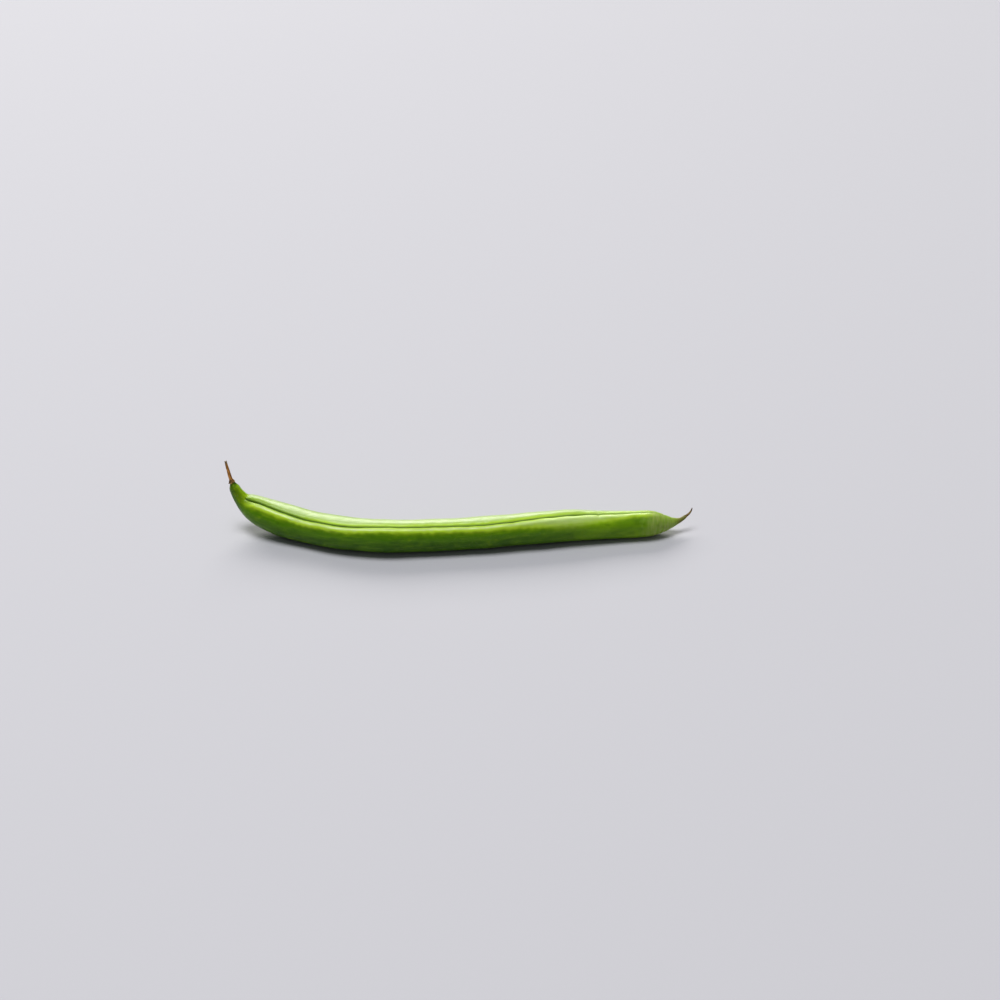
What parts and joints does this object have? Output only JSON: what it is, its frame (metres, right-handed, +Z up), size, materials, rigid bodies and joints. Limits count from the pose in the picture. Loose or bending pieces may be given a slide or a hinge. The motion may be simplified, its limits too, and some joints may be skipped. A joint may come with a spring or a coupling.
{
  "type": "green bean",
  "caption": "Whole fresh green bean: a long, gently bent pod with a lipped suture, its withered calyx, a dry stalk and a short tail, lying on its side.",
  "frame": {"origin": "on the surface that the bean rests on, under the middle of its box", "axes": "+X along the pod from its stalk to its tail, +Y across it, away from the side that the suture leans to, +Z up"},
  "size_m": [0.123, 0.0176, 0.0197],
  "materials": {
    "pod_skin": "satin waxy skin of a fresh green bean, mid green, paler on the lips of the suture and at the tail",
    "dry_husk": "matt, dark brown, withered plant tissue",
    "dry_stalk": "matt, tan to orange brown dried stalk with fine lengthwise wrinkles"
  },
  "bodies": {
    "root": {"pod": "pod_skin", "calyx": "dry_husk", "stalk": "dry_stalk", "style_thread": "dry_husk"}
  },
  "joints": []
}
